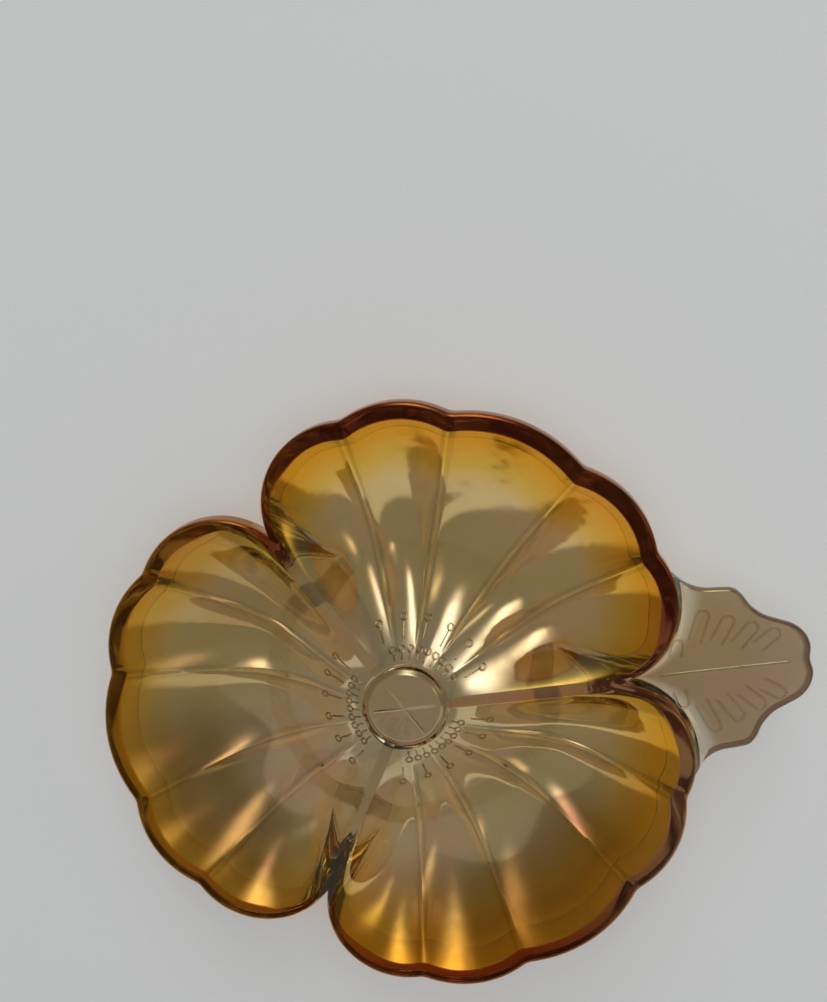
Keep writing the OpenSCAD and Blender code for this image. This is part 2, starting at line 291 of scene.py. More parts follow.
def make(name, points, faces, kinds, materials, film, metal, turn=0.0, replaces=None):
    """A named piece from points in the flower's millimetres, its faces and each face's material.

    film is the film's colour and metal how metallic it is, at every point.
    """
    points = np.asarray(points, float).reshape(-1, 3)
    mesh = bpy.data.meshes.new(name)
    mesh.from_pydata(to_frame(points, turn).tolist(), [], [[int(i) for i in face] for face in faces])
    for material in materials:
        mesh.materials.append(material)
    kinds = np.asarray(kinds, np.int32)
    mesh.polygons.foreach_set("material_index", kinds)
    mesh.polygons.foreach_set("use_smooth", kinds == GLASS)
    colour = np.ones((len(points), 4), np.float32)
    colour[:, :3] = np.asarray(film, float).reshape(-1, 3)
    mesh.attributes.new("film", "FLOAT_COLOR", "POINT").data.foreach_set("color", colour.ravel())
    share = np.broadcast_to(np.asarray(metal, np.float32).ravel(), len(points)).copy()
    mesh.attributes.new("metal", "FLOAT", "POINT").data.foreach_set("value", share)
    turn_outwards(mesh)
    mesh.set_sharp_from_angle(angle=math.radians(50))
    mesh.update()
    piece = bpy.data.objects.new(name + "_glass", mesh)
    bpy.context.scene.collection.objects.link(piece)
    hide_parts(replaces or name)
    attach(piece, "root")
    return piece


def slab(top, bottom, sides, bottom_kinds=None):
    """Points, faces and kinds of a closed shell between two grids of points. sides gives the kinds of
    the walls along the first row, the last column, the last row and the first column."""
    rows, cols = top.shape[:2]
    below = rows * cols
    up = quads(rows, cols)
    edges = [
        np.arange(cols),
        np.arange(rows) * cols + cols - 1,
        (rows - 1) * cols + np.arange(cols)[::-1],
        np.arange(rows)[::-1] * cols,
    ]
    faces = [up, up[:, ::-1] + below]
    kinds = [np.full(len(up), GLASS), np.full(len(up), GLASS) if bottom_kinds is None else bottom_kinds]
    for edge, kind in zip(edges, sides):
        faces.append(np.stack([edge[1:], edge[:-1], edge[:-1] + below, edge[1:] + below], -1))
        kinds.append(np.full(len(edge) - 1, kind))
    points = np.concatenate([top.reshape(-1, 3), bottom.reshape(-1, 3)])
    return points, np.concatenate(faces), np.concatenate(kinds)


def rail(grid, kinds, back_kind, end_kind):
    """Closed shell from a section swept along: grid is section points by stations. The back joins the
    section's last point to its first, and each end is one face."""
    rows, cols = grid.shape[:2]
    along = np.arange(cols - 1)
    last = (rows - 1) * cols
    back = np.stack([last + along, last + along + 1, along + 1, along], -1)
    start = [i * cols for i in range(rows)]
    end = [i * cols + cols - 1 for i in range(rows)]
    faces = [list(f) for f in quads(rows, cols)] + [list(f) for f in back] + [start, end[::-1]]
    return faces, np.concatenate([kinds, np.full(cols - 1, back_kind), [end_kind, end_kind]])


# ---------------------------------------------------------------- stations that the pieces share
ROWS_IN = np.concatenate([
    np.linspace(THROAT_R, FOOT_IN, 26), np.linspace(FOOT_IN, FOOT_OUT, 7)[1:], [FLAT_OUT],
])
ROWS_OUT = 1 - (1 - np.linspace(0, 1, 41)[1:]) ** 1.25
SIDE_STATIONS = FLAT_OUT + (TOUCH_R - FLAT_OUT) * ROWS_OUT
LOBE_STEPS = 26


def line_shares():
    """Shares of the half petal for lines from throat to rim, bunched beside the ribs."""
    ribs = (NOTCH_MID[1], NOTCH_SIDE[1], TOUCH_A)
    stops = [-ribs[2], -ribs[1], -ribs[0], ribs[0], ribs[1], ribs[2]]
    even = np.linspace(0, 1, LOBE_STEPS + 1)[:-1]
    bunched = 0.6 * (1 - np.cos(math.pi * even)) / 2 + 0.4 * even
    parts = [a + (b - a) * bunched for a, b in zip(stops[:-1], stops[1:])]
    return np.concatenate(parts + [[TOUCH_A]]) / TOUCH_A


SHARES = line_shares()


def with_height(plan, height):
    return np.concatenate([plan, np.broadcast_to(height, plan.shape[:-1])[..., None]], -1)


def over_foot(plan):
    """Kinds of the underside's faces: those that stand on the foot ring are joints."""
    r = np.hypot(plan[..., 0], plan[..., 1])
    middle = (r[:-1, :-1] + r[1:, 1:]) / 2
    return np.where((middle > FOOT_IN) & (middle < FOOT_OUT), JOINT, GLASS).ravel()


# ---------------------------------------------------------------- petals
def petal_plan():
    rows = [polar(r, SHARES * side_angle(r)) for r in ROWS_IN]
    rim = inner_edge(SHARES * TOUCH_A)
    for share, station in zip(ROWS_OUT, SIDE_STATIONS):
        rows.append(polar(FLAT_OUT + (rim - FLAT_OUT) * share, SHARES * side_angle(station)))
    return np.array(rows)


# The film is painted differently in these directions round the flower, each with its spread, in
# degrees. They follow the photo. The three reflections and the dark side are painted reflection of
# a dark room; the others set the paler floors and throat, the orange and the bands' amber and mauve.
FAR_REFLECTION, RIGHT_REFLECTION, DEEPEST_REFLECTION = (203, 44), (298, 46), (193, 32)
DARK_SIDE_REFLECTION, LESS_ORANGE, MORE_ORANGE = (145, 42), (190, 85), (335, 42)
CLEAR_FLOORS, CLEAR_THROAT = (240, 130), (270, 130)
AMBER_BAND, MAUVE_BAND = (180, 95), (335, 48)
# How far in from the rim the orange reaches, less on the far petal, and how far from a divider
RIM_ORANGE, FAR_LESS, SIDE_ORANGE = 16, 8, 7
# How far in from the rim the painted dark reflections reach, more on the far petal, and how wavy their edge
# is
REFLECTION_REACH, FAR_MORE, REFLECTION_WAVE = 22, 7, 2.5
# How metallic the film is on the petals' upper and under sides
FRONT_METAL, BACK_METAL = 0.43, 0.08


def dark_reflection_share(phi, azimuth, gap):
    """Painted reflection of a dark room: two dark clouds on the walls of the far and right petals,
    weak by the rim, with a wavy inner edge."""
    wave = REFLECTION_WAVE * np.sin(np.radians(9 * phi))
    line = REFLECTION_REACH + FAR_MORE * azimuth_share(azimuth, *DEEPEST_REFLECTION) + wave
    clouds = azimuth_share(azimuth, *FAR_REFLECTION) + azimuth_share(azimuth, *RIGHT_REFLECTION)
    by_rim = 0.4 + 0.6 * ease(gap / 8)
    return ease((line - gap) / 1.5 + 0.5) * np.clip(1.6 * clouds, 0, 1) * by_rim


def petal_film(r, phi, azimuth, gap, side):
    """Film colours on both faces and how metallic the front is: pearly by the boss, champagne on the
    floor and orange by the rim and the dividers, less so on the far petal, with a painted highlight
    along each rib's top and painted shade beside it on the front. Painted reflection of a dark room
    darkens it in two clouds and on one side of the far petal, and it is clearer and less metallic on
    the floors of the far and right petals and by the boss."""
    far = azimuth_share(azimuth, *LESS_ORANGE)
    floor = 0.3 * ease((r - 15) / 20)
    by_rim = np.clip(1 - gap / (RIM_ORANGE - FAR_LESS * far), 0, 1)
    beside = 0.3 + 0.5 * azimuth_share(azimuth, *MORE_ORANGE)
    by_divider = beside * np.clip(1 - side / SIDE_ORANGE, 0, 1) * ease((r - 18) / 12)
    by_edge = np.maximum(by_rim, by_divider)
    place = floor + (1 - floor) * by_edge * (1 - 0.5 * far)
    away = from_rib(r, phi)
    # Painted highlight along each rib's top and painted shade beside it, to show the ribs
    crest, flank_shade = np.exp(-((away / 0.3) ** 2)), np.exp(-(((away - 0.8) / 0.4) ** 2))
    lines = 1 + (0.3 * crest - 0.35 * flank_shade) * ease((r - THROAT_R) / 10)
    # Painted reflection of a dark room: darker, less metallic film in two clouds on the walls
    dark_reflection = dark_reflection_share(phi, azimuth, gap)
    # Painted reflection of a dark room on one side of the far petal: darker and less metallic film
    dark_side_reflection = azimuth_share(azimuth, *DARK_SIDE_REFLECTION) * ease((r - 25) / 20)
    darker = mixed((1, 1, 1), DARK_REFLECTION_TINT, np.maximum(dark_reflection, 0.55 * dark_side_reflection))
    front = along_stops(FRONT_STOPS, place) * lines[..., None] * darker
    back = along_stops(BACK_STOPS, place)
    clear = azimuth_share(azimuth, *CLEAR_FLOORS) * ease((gap - 16) / 8)
    throat = (1 - ease((r - 13) / 10)) * azimuth_share(azimuth, *CLEAR_THROAT)
    metal = (FRONT_METAL - 0.13 * dark_reflection) * (1 - 0.7 * throat) * (1 - 0.45 * dark_side_reflection) * (1 - 0.25 * clear)
    return np.clip(mixed(front, PEARL, 0.3 * clear), 0, 1), mixed(back, CLEAR, 0.35 * clear), metal


def build_petal(name, mid, materials):
    plan = petal_plan()
    x, y = plan[..., 0], plan[..., 1]
    r = np.hypot(x, y)
    phi = np.broadcast_to(SHARES * TOUCH_A, x.shape)
    gap = inner_edge(phi) - r
    gap[-1] = 0
    top = with_height(plan, hollow(x, y, phi, gap))
    bottom = with_height(plan, under(r, np.degrees(np.arctan2(y, x))))
    points, faces, kinds = slab(top, bottom, (JOINT,) * 4, over_foot(plan))
    front, back, front_metal = petal_film(r, phi, phi + mid, gap, from_side(x, y))
    colours = np.concatenate([front.reshape(-1, 3), back.reshape(-1, 3)])
    metal = np.concatenate([front_metal.ravel(), np.full(r.size, BACK_METAL)])
    make(f"petal_{name}", points, faces, kinds, materials, colours, metal, mid)


# ---------------------------------------------------------------- rim bands
def band_section():
    """The band's section from the hollow over its crown to the foot of its outer face: shares of its
    width and heights from the rim."""
    quarter = math.pi / 2
    lip = [(0.2 * (1 - math.cos(t)), EDGE_DROP * (math.sin(t) - 1)) for t in np.linspace(0, quarter, 5)]
    crown = [(share, 0.0) for share in (0.34, 0.48)]
    brow = [(0.62 + 0.38 * math.sin(t), BAND_TOP * (math.cos(t) - 1)) for t in np.linspace(0, quarter, 9)]
    face = [(1.0, -BAND_TOP - (BAND_H - 0.6) * t) for t in (0.25, 0.5, 0.75, 1)]
    return lip + crown + brow + face


SECTION = band_section()
FACE_FROM = next(i for i, (share, _) in enumerate(SECTION) if share == 1.0)
# Shares of the band's width along its underside
SOLE = [0.96, 0.88, 0.76, 0.62, 0.46, 0.3, 0.15, 0.0]


def band_film(azimuth):
    """Red-brown, amber on the far side and mauve by the leaf."""
    colour = mixed(RUSSET, AMBER, 0.75 * azimuth_share(azimuth, *AMBER_BAND))
    return mixed(colour, MAUVE, 0.8 * azimuth_share(azimuth, *MAUVE_BAND))


def build_rim(name, mid, materials):
    phi = SHARES * TOUCH_A
    inner, outer = inner_edge(phi), outline(phi)
    width = outer - inner
    rows = [with_height(polar(inner + width * share, phi), RIM_Z + height) for share, height in SECTION]
    for share in SOLE:
        plan = polar(inner + width * share, phi)
        rows.append(with_height(plan, under(np.hypot(plan[:, 0], plan[:, 1]), phi)))
    grid = np.array(rows)
    count, cols = grid.shape[:2]
    kinds = np.full((count - 1, cols - 1), GLASS)
    leaf_side = {"left": -1, "right": 1}.get(name)
    if leaf_side:
        # the leaf grows from the outer face near its cleft
        near_leaf = (phi[:-1] + phi[1:]) / 2 * leaf_side > HALF_PETAL - JOIN_A
        kinds[FACE_FROM:len(SECTION) - 1, near_leaf] = JOINT
    faces, kinds = rail(grid, kinds.ravel(), JOINT, JOINT)
    top = band_film((phi + mid) % 360)
    sole = mixed(top, ORANGE, np.full(cols, 0.45))
    film = np.concatenate([np.tile(top, (len(SECTION), 1)), np.tile(sole, (len(SOLE), 1))])
    metal = np.repeat([0.3, 0.1], [len(SECTION) * cols, len(SOLE) * cols])
    make(f"rim_{name}", grid, faces, kinds, materials, film, metal, mid)


# ---------------------------------------------------------------- dividers
# The film by the boss and the film by the cleft
DIVIDER_FILM = {"leaf": (MAUVE, MAUVE), "left": (SMOKE, RUSSET), "right": (SMOKE, PEARL)}


def divider_plan():
    """Rows of points out to the last round, then rows that turn into the band's width."""
    across = np.linspace(-1, 1, 13)
    rows = []
    for r in np.concatenate([ROWS_IN, SIDE_STATIONS]):
        half = math.radians(HALF_PETAL - side_angle(r))
        rows.append(np.stack([np.full(13, r * math.cos(half)), across * r * math.sin(half)], -1))
    turn = across * (HALF_PETAL - TOUCH_A)
    outer = polar(outline(HALF_PETAL - np.abs(turn)), turn)
    inner = rows[-1]
    drops = []
    for share, height in SECTION[1:FACE_FROM + 1]:
        rows.append(inner * (1 - share) + outer * share)
        drops.append(height)
    return across, np.array(rows), np.array(drops)


def build_divider(name, cleft, materials):
    across, plan, drops = divider_plan()
    crown = -EDGE_DROP * np.abs(across) ** 3
    straight = len(plan) - len(drops)
    rise = np.broadcast_to(crown, plan.shape[:2]).copy()
    into_band = ease(np.arange(len(drops)) / 3)[:, None]
    rise[straight:] = drops[:, None] * into_band + crown * (1 - into_band)
    top = with_height(plan, RIM_Z + rise)
    x, y = plan[..., 0], plan[..., 1]
    r = np.hypot(x, y)
    bottom = with_height(plan, under(r, HALF_PETAL - np.abs(np.degrees(np.arctan2(y, x)))))
    end_kind = JOINT if name == "leaf" else GLASS
    points, faces, kinds = slab(top, bottom, (JOINT, JOINT, end_kind, JOINT), over_foot(plan))
    outer_share = ease((r - 36) / 16)
    start, tail = DIVIDER_FILM[name]
    film = mixed(start, tail, outer_share)
    back = np.broadcast_to(PALE_BACK, film.shape)
    metal = np.repeat([0.3, 0.1], r.size)
    colours = np.concatenate([film.reshape(-1, 3), back.reshape(-1, 3)])
    make(f"divider_{name}", points, faces, kinds, materials, colours, metal, cleft)


# ---------------------------------------------------------------- centre
STAR_H, STAR_W = 0.22, 0.28
BEVEL_DROP, GROOVE = 1.0, 0.5


def centre_top(r, a):
    """The boss with its star, then the groove round it that runs into the throats of the petals."""
    ray = r * np.sin(np.radians(np.abs((a + 30) % 60 - 30)))
    crown_r = BOSS_R - BOSS_BEVEL
    star = STAR_H * np.exp(-((ray / STAR_W) ** 2)) * ease((crown_r - r) / 0.8)
    bevel = BEVEL_DROP * ease((r - crown_r) / BOSS_BEVEL)
    boss = BOSS_DOME * (1 - (r / BOSS_R) ** 2) + star - bevel
    off_mid = np.abs(a % 120 - 60)
    open_half = HALF_PETAL - math.degrees(math.asin(DIVIDER_HALF / THROAT_R))
    side = np.maximum(0, THROAT_R * np.sin(np.radians(open_half - off_mid)))
    throat = -THROAT_DEPTH * climb(side, SIDE_REACH) - EDGE_DROP
    groove = throat - GROOVE * np.exp(-(((r - BOSS_R - 0.35) / 0.4) ** 2))
    return RIM_Z + np.where(r <= BOSS_R, boss, groove)


def build_centre(materials):
    steps = 360
    angles = np.arange(steps) * 360 / steps
    crown_r = BOSS_R - BOSS_BEVEL
    radii = np.concatenate([
        np.linspace(0.05, crown_r, 44), np.linspace(crown_r, BOSS_R, 12)[1:],
        BOSS_R + np.array([0.12, 0.4, 0.8]), [THROAT_R],
    ])
    r, a = np.meshgrid(radii, angles, indexing="ij")
    plan = polar(r, a)
    top = with_height(plan, centre_top(r, a))
    bottom = with_height(plan, under(r, 0 * r))
    rows = len(radii)
    below = rows * steps
    up = quads(rows, steps, closed=True)
    rim = np.arange(steps) + (rows - 1) * steps
    wall = np.stack([np.roll(rim, -1), rim, rim + below, np.roll(rim, -1) + below], -1)
    faces = [list(f) for f in np.concatenate([up, up[:, ::-1] + below, wall])]
    faces += [list(range(steps))[::-1], list(range(below, below + steps))]
    kinds = np.concatenate([np.full(2 * len(up), GLASS), np.full(steps, JOINT), [GLASS, GLASS]])
    # Painted shade: a brown ring over the boss's bevel and the groove round it
    ring = ease((r - crown_r - 0.2) / 0.9) * ease((BOSS_R + 0.7 - r) / 0.7)
    film = mixed(mixed(SMOKE, PEARL, 0.5), BEVEL_SHADE_BROWN, 0.8 * ring)
    back = np.broadcast_to(PALE_BACK, film.shape)
    colours = np.concatenate([film.reshape(-1, 3), back.reshape(-1, 3)])
    metal = np.repeat([0.3, 0.12], r.size)
    points = np.concatenate([top, bottom])
    make("flower_centre", points, faces, kinds, materials, colours, metal)


# ---------------------------------------------------------------- foot
def build_foot(materials):
    """A low ring whose sides run gently into the flat above it."""
    steps = 288
    angles = np.arange(steps) * 360 / steps
    share = np.linspace(0, 1, 9)
    height = FLAT_Z * (1 - ease(share))
    section = [(FOOT_IN + FOOT_SLOPE * t, z) for t, z in zip(share, height)]
    section += [(FOOT_OUT - FOOT_SLOPE * t, z) for t, z in zip(share[::-1], height[::-1])]
    grid = np.array([with_height(polar(r, angles), z) for r, z in section])
    last, first = (len(section) - 1) * steps + np.arange(steps), np.arange(steps)
    lid = np.stack([last, np.roll(last, -1), np.roll(first, -1), first], -1)
    faces = quads(len(section), steps, closed=True)
    kinds = np.concatenate([np.full(len(faces), GLASS), np.full(steps, JOINT)])
    film = np.broadcast_to(PALE_BACK, (grid.size // 3, 3))
    make("foot_ring", grid, np.concatenate([faces, lid]), kinds, materials, film, 0.1)


# ---------------------------------------------------------------- leaf
LEAF_EDGE = [
    (71.0, 22.2), (74.5, 20.6), (78.5, 20.2), (81.6, 19.7), (83.6, 17.9), (85.4, 14.9),
    (88.2, 12.3), (91.6, 10.7), (95.0, 9.1), (97.4, 6.6), (LEAF_TIP - CLEARANCE, 3.4), (LEAF_TIP - 0.5, 0),
]


def smooth_path(points, count):
    """A Catmull-Rom curve through the points, cut at evenly spaced places."""
    p = np.array(points, float)
    p = np.concatenate([[2 * p[0] - p[1]], p, [2 * p[-1] - p[-2]]])
    t = np.linspace(0, 1, 24, endpoint=False)[:, None]
    fine = []
    for a, b, c, d in zip(p, p[1:], p[2:], p[3:]):
        square = (2 * a - 5 * b + 4 * c - d) * t**2
        cube = (3 * b - a - 3 * c + d) * t**3
        fine.append(0.5 * (2 * b + (c - a) * t + square + cube))
    fine = np.concatenate(fine + [p[-2:-1]])
    run = np.concatenate([[0], np.cumsum(np.hypot(*np.diff(fine, axis=0).T))])
    at = np.linspace(0, run[-1], count)
    return np.stack([np.interp(at, run, fine[:, 0]), np.interp(at, run, fine[:, 1])], -1)


LIP_STEPS = 13
# The film thins out over this width beside the petals
COVE_CLEAR = 6
LEAF_METAL = 0.18


def build_leaf(materials):
    """A dished plate with a rounded edge that carries painted shade, and a clear cove up to the petals'
    bands.
    """
    count = 241
    a = np.linspace(-JOIN_A, JOIN_A, count)
    base = polar(outline(HALF_PETAL - np.abs(a)), a)
    half = [tuple(base[-1])] + LEAF_EDGE
    edge = smooth_path([(x, -y) for x, y in half] + half[-2::-1], count)
    tangent = np.gradient(edge, axis=0)
    out = np.stack([tangent[:, 1], -tangent[:, 0]], -1)
    out /= np.hypot(out[:, 0], out[:, 1])[:, None]
    edge_w = np.minimum(1.2, 0.3 * np.hypot(*(edge - base).T))[:, None]
    lip = edge - out * edge_w
    low_z = RIM_Z - LEAF_DROP - LEAF_T

    def leaf_top(plan):
        away = np.hypot(plan[:, 0] - base[:, 0], plan[:, 1] - base[:, 1])
        return leaf_height(plan[:, 1]) + COVE_H * (1 - np.clip(away / COVE_W, 0, 1)) ** 2

    upper, lower = [], []
    for t in np.linspace(0, 1, 60)[:-1] ** 1.15:
        plan = base * (1 - t) + lip * t
        upper.append(with_height(plan, leaf_top(plan)))
        lower.append(with_height(plan, low_z))
    lip_z = leaf_top(lip)
    for angle in np.linspace(0, math.pi, LIP_STEPS):
        z = (lip_z + low_z) / 2 + (lip_z - low_z) / 2 * math.cos(angle)
        upper.append(with_height(lip + out * edge_w * math.sin(angle), z))
    grid = np.array(upper + lower[::-1])[:, 1:-1]
    faces, kinds = rail(grid, np.full((len(grid) - 1) * (count - 3), GLASS), JOINT, GLASS)
    away = np.hypot(*(grid[..., :2] - base[1:-1]).transpose(2, 0, 1))
    film = mixed(SMOKE, CLEAR, 1.6 * np.clip(1 - away / COVE_CLEAR, 0, 0.6))
    # Painted shade along the rounded edge
    film[len(upper) - LIP_STEPS + 2:len(upper)] = LIP_SHADE_FILM
    metal = LEAF_METAL * np.clip(away / COVE_CLEAR, 0, 1)
    make("leaf_handle", grid, faces, kinds, materials, film, metal)


# ---------------------------------------------------------------- raised relief
def ridge(path, width, height, sink=0.05, sides=8):
    """Points and faces of a low half-round ridge along a path, with rounded ends."""
    p = np.asarray(path, float)
    tangent = np.gradient(p, axis=0)
    tangent /= np.linalg.norm(tangent, axis=1)[:, None]
    across = np.stack([-tangent[:, 1], tangent[:, 0], 0 * p[:, 0]], -1)
    across /= np.linalg.norm(across, axis=1)[:, None]
    up = np.cross(tangent, across)
    run = np.concatenate([[0], np.cumsum(np.linalg.norm(np.diff(p, axis=0), axis=1))])
    reach = np.clip(np.minimum(run, run[-1] - run) / (width / 2), 0.02, 1)
    swell = np.sqrt(1 - (1 - reach) ** 2)[:, None]
    angles = np.linspace(0, math.pi, sides + 1)
    grid = np.array([p - up * sink + (across * width / 2 * math.cos(t) + up * height * math.sin(t)) * swell
                     for t in angles])
    faces, _ = rail(grid, np.zeros((len(grid) - 1) * (len(p) - 1), int), GLASS, GLASS)
    return grid.reshape(-1, 3), faces


def joined(parts):
    points, faces, start = [], [], 0
    for part_points, part_faces in parts:
        points.append(part_points)
        faces += [[i + start for i in face] for face in part_faces]
        start += len(part_points)
    return np.concatenate(points), faces


def turned(points, angle):
    c, s = math.cos(math.radians(angle)), math.sin(math.radians(angle))
    return points @ np.array([[c, s, 0], [-s, c, 0], [0, 0, 1]])


def build_relief(name, parts, materials, film, metal):
    points, faces = joined(parts)
    colours = np.broadcast_to(film, points.shape)
    make(name, points, faces, np.zeros(len(faces)), materials, colours, metal)


def build_midrib(materials):
    x = np.linspace(62, LEAF_TIP - 5, 60)
    path = np.stack([x, 0 * x, leaf_height(0 * x)], -1)
    build_relief("leaf_midrib", [ridge(path, 0.9, 0.26)], materials, CLEAR, 0.06)


VEIN_HOOP = 1.5


def vein_path(root, lean, length, side):
    """Two legs and the half round that joins them, laid on the leaf."""
    legs = np.linspace(0, length, 14)
    bend = np.linspace(-math.pi / 2, math.pi / 2, 15)[1:-1]
    out = np.concatenate([legs, length + VEIN_HOOP * np.cos(bend), legs[::-1]])
    off = np.concatenate([np.full(14, -VEIN_HOOP), VEIN_HOOP * np.sin(bend), np.full(14, VEIN_HOOP)])
    c, s = math.cos(math.radians(lean)), math.sin(math.radians(lean))
    x, y = root[0] + out * c - off * s, side * (root[1] + out * s + off * c)
    return np.stack([x, y, leaf_height(y)], -1)


def build_veins(materials):
    """The first vein is short; the others swing towards the tip, one after another."""
    parts = []
    for side in (-1, 1):
        for i in range(5):
            share = i / 4
            length = 3.0 if i == 0 else 7.5 - 2.5 * share
            root = (66.3 + 19.6 * share, 4.2 if i == 0 else 8.4 - 3.8 * share)
            parts.append(ridge(vein_path(root, 78 - 44 * share, length, side), 0.75, 0.16))
    build_relief("leaf_veins", parts, materials, CLEAR, 0.06)


def on_petal(r, phi):
    """Points on a petal's upper face, well inside its band."""
    x, y = polar(r, phi).T
    return np.stack([x, y, hollow(x, y, phi, inner_edge(phi) - r)], -1)


def build_stamens(materials):
    """Thin stalks that end in small hoops, in two rings round the boss."""
    inner_r, outer_r, spread, hoop = 14.2, 21.0, 41.0, 0.72
    heads = [(THROAT_R + 0.6, inner_r, a) for a in np.linspace(-spread, spread, 9) * 0.85]
    heads += [(inner_r + 2, outer_r, a) for a in np.linspace(-spread, spread, 6)]
    bend = np.linspace(0, 2 * math.pi, 29)
    parts = []
    for mid in MIDS.values():
        for start, r, phi in heads:
            stalk = on_petal(np.linspace(start, r - hoop, 14), np.full(14, phi))
            loop = on_petal(r + hoop * np.cos(bend), phi + np.degrees(hoop * np.sin(bend) / r))
            for path, width, height in ((stalk, 0.5, 0.16), (loop, 0.55, 0.3)):
                points, faces = ridge(path, width, height)
                parts.append((turned(points, mid), faces))
    build_relief("stamens", parts, materials, STAMEN_FILM, 0.2)


# ---------------------------------------------------------------- materials
def node_maker(tree):
    def new(kind, **settings):
        node = tree.nodes.new(kind)
        for key, value in settings.items():
            setattr(node, key, value)
        return node
    return new


# Faint rose, clear, green and yellow clouds over the film's colour
PASTELS = [
    (0.30, (1.0, 0.90, 0.93)),
    (0.45, (1.0, 1.0, 1.0)),
    (0.58, (0.93, 1.0, 0.90)),
    (0.72, (1.0, 0.95, 0.82)),
]


def iridised_glass(name, roughness, film_nm, gloss):
    """Clear glass under a thin part-metallic film. Its colour comes from the piece, under pastel
    clouds, and light that falls through it throws a tinted shadow. film_nm is the range of the film's
    thickness and gloss the colour of its highlights."""
    material = bpy.data.materials.new(name)
    material.use_nodes = True
    tree = material.node_tree
    tree.nodes.clear()
    new, link = node_maker(tree), tree.links.new

    where = new("ShaderNodeTexCoord")
    cloud = new("ShaderNodeTexNoise")
    cloud.inputs["Scale"].default_value = 34
    cloud.inputs["Detail"].default_value = 4
    cloud.inputs["Distortion"].default_value = 0.6
    link(where.outputs["Object"], cloud.inputs["Vector"])
    pastel = new("ShaderNodeValToRGB")
    for place, _ in PASTELS[2:]:
        pastel.color_ramp.elements.new(place)
    for element, (place, rgb) in zip(pastel.color_ramp.elements, PASTELS):
        element.position = place
        element.color = (*rgb, 1)
    link(cloud.outputs["Fac"], pastel.inputs["Fac"])

    film = new("ShaderNodeAttribute", attribute_name="film")
    tinted = new("ShaderNodeVectorMath", operation="MULTIPLY")
    link(film.outputs["Color"], tinted.inputs[0])
    link(pastel.outputs["Color"], tinted.inputs[1])

    ripple = new("ShaderNodeTexNoise")
    ripple.inputs["Scale"].default_value = 170
    ripple.inputs["Detail"].default_value = 1
    link(where.outputs["Object"], ripple.inputs["Vector"])
    relief = new("ShaderNodeBump")
    relief.inputs["Strength"].default_value = 0.35
    relief.inputs["Distance"].default_value = 0.0002
    link(ripple.outputs["Fac"], relief.inputs["Height"])

    shine = new("ShaderNodeBsdfPrincipled")
    shine.inputs["Transmission Weight"].default_value = 1
    shine.inputs["IOR"].default_value = 1.5
    shine.inputs["Roughness"].default_value = roughness
    shine.inputs["Thin Film IOR"].default_value = 1.8
    shine.inputs["Specular Tint"].default_value = (*gloss, 1)
    metal = new("ShaderNodeAttribute", attribute_name="metal")
    thickness = new("ShaderNodeMath", operation="MULTIPLY_ADD")
    link(cloud.outputs["Fac"], thickness.inputs[0])
    thickness.inputs[1].default_value = film_nm[1] - film_nm[0]
    thickness.inputs[2].default_value = film_nm[0]
    link(tinted.outputs[0], shine.inputs["Base Color"])
    link(metal.outputs["Fac"], shine.inputs["Metallic"])
    link(thickness.outputs[0], shine.inputs["Thin Film Thickness"])
    link(relief.outputs[0], shine.inputs["Normal"])

    lighter = new("ShaderNodeMix", data_type="RGBA")
    lighter.inputs["Factor"].default_value = 0.7
    link(tinted.outputs[0], lighter.inputs["A"])
    lighter.inputs["B"].default_value = (1, 1, 1, 1)
    clear = new("ShaderNodeBsdfTransparent")
    link(lighter.outputs["Result"], clear.inputs["Color"])
    rays = new("ShaderNodeLightPath")
    either = new("ShaderNodeMixShader")
    link(rays.outputs["Is Shadow Ray"], either.inputs[0])
    link(shine.outputs[0], either.inputs[1])
    link(clear.outputs[0], either.inputs[2])
    out = new("ShaderNodeOutputMaterial")
    link(either.outputs[0], out.inputs["Surface"])
    return material


def joint_glass():
    """Glass runs on unbroken where two pieces of the one pressing meet."""
    material = bpy.data.materials.new("unbroken_glass")
    material.use_nodes = True
    tree = material.node_tree
    tree.nodes.clear()
    clear = tree.nodes.new("ShaderNodeBsdfTransparent")
    out = tree.nodes.new("ShaderNodeOutputMaterial")
    tree.links.new(clear.outputs[0], out.inputs["Surface"])
    return material


# ---------------------------------------------------------------- stage, light and camera
def make_floor():
    size = 3.0
    mesh = bpy.data.meshes.new("floor")
    corners = [(-size, -size, 0), (size, -size, 0), (size, size, 0), (-size, size, 0)]
    mesh.from_pydata(corners, [], [(0, 1, 2, 3)])
    material = bpy.data.materials.new("floor_grey")
    material.use_nodes = True
    shader = material.node_tree.nodes["Principled BSDF"]
    shader.inputs["Base Color"].default_value = (0.72, 0.74, 0.74, 1)
    shader.inputs["Roughness"].default_value = 0.7
    mesh.materials.append(material)
    floor = bpy.data.objects.new("floor", mesh)
    floor.location.z = -0.0001
    bpy.context.scene.collection.objects.link(floor)


# azimuth from +X and elevation in degrees, how far each light spreads, its strength and its colour
SOFT_LIGHTS = [
    (83, 20, 12, 2.5, (1, 0.98, 0.95)),
    (80, 36, 12, 3, (1, 0.98, 0.95)),
    (8, 30, 9, 1.2, (1, 0.85, 0.6)),
]
DARK_ROOM = (0.085, 0.085, 0.09, 1)
FRONT_WALL = (0.58, 0.57, 0.54, 1)
WALL_TOP = math.tan(math.radians(26))


